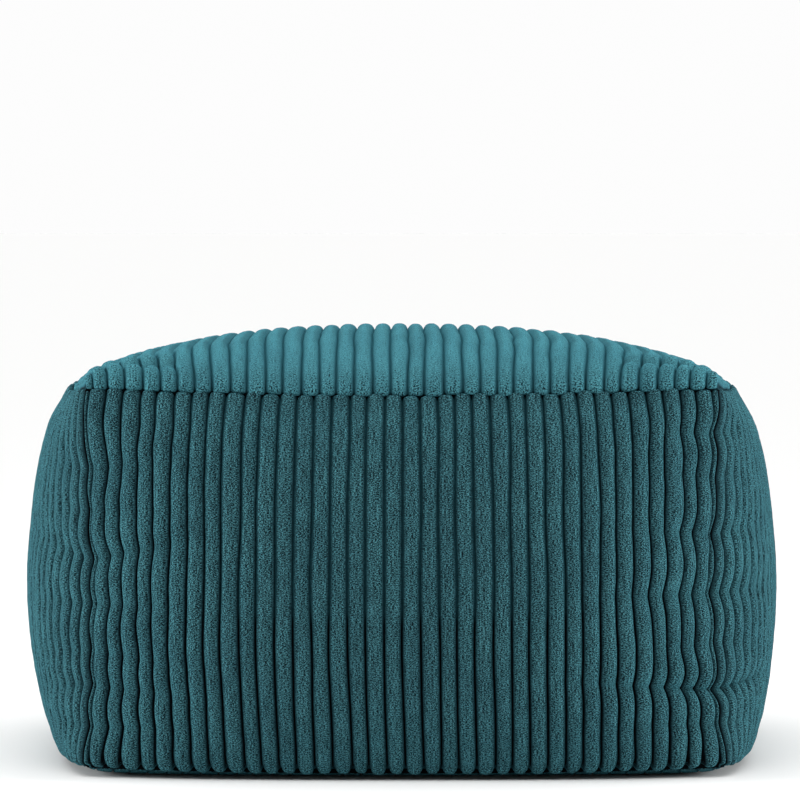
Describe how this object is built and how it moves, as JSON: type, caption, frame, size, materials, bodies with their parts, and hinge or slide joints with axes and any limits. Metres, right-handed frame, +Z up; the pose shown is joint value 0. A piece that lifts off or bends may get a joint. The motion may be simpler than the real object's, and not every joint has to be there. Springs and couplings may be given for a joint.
{
  "type": "square pouf",
  "caption": "Low square seat pouf, filled and crowned, in upright thick corduroy with plain seams and a flat base to rest on.",
  "frame": {"origin": "middle of the base, on the floor", "axes": "+Z up through the crown, -Y out of the front panel that the picture shows, +X to the viewer's right"},
  "size_m": [0.6102, 0.6102, 0.3452],
  "materials": {
    "top_cloth": "soft cut pile in thick cords, brushed lighter on the top",
    "side_cloth": "soft cut pile in thick upright cords, deep teal"
  },
  "bodies": {
    "root": {"top_panel": "top_cloth", "base_panel": "side_cloth", "front_panel": "side_cloth", "back_panel": "side_cloth", "left_panel": "side_cloth", "right_panel": "side_cloth"}
  },
  "joints": []
}
